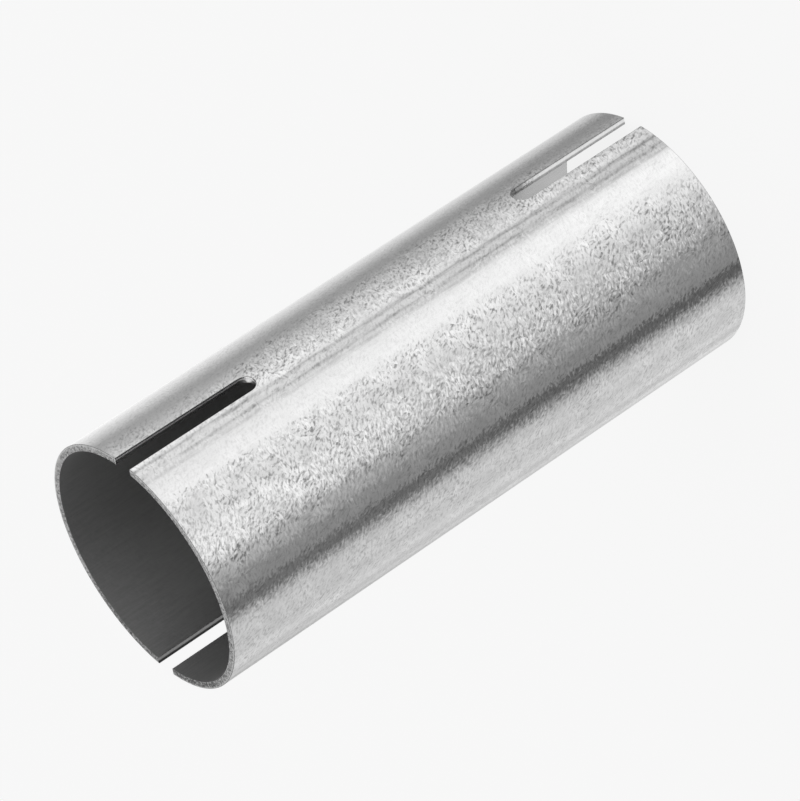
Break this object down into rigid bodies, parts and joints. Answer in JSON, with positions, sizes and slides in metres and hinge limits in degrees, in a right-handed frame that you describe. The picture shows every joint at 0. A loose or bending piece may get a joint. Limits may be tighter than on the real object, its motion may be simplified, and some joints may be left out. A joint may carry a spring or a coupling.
{
  "type": "splice sleeve",
  "caption": "Short round galvanised steel tube with open ends and round-ended slots cut in from each end; slips over the meeting ends of round tubes and is clamped to splice them in line.",
  "frame": {"origin": "middle of the bottom end, on the axis of the bore", "axes": "+Z along the bore, up from the end it stands on; +X through the first slot of the top end"},
  "size_m": [0.0518, 0.0518, 0.127],
  "materials": {
    "galvanised_steel": "spangled zinc coating, satin, with bare cut edges"
  },
  "bodies": {
    "root": {"splice_sleeve": "galvanised_steel"}
  },
  "joints": []
}
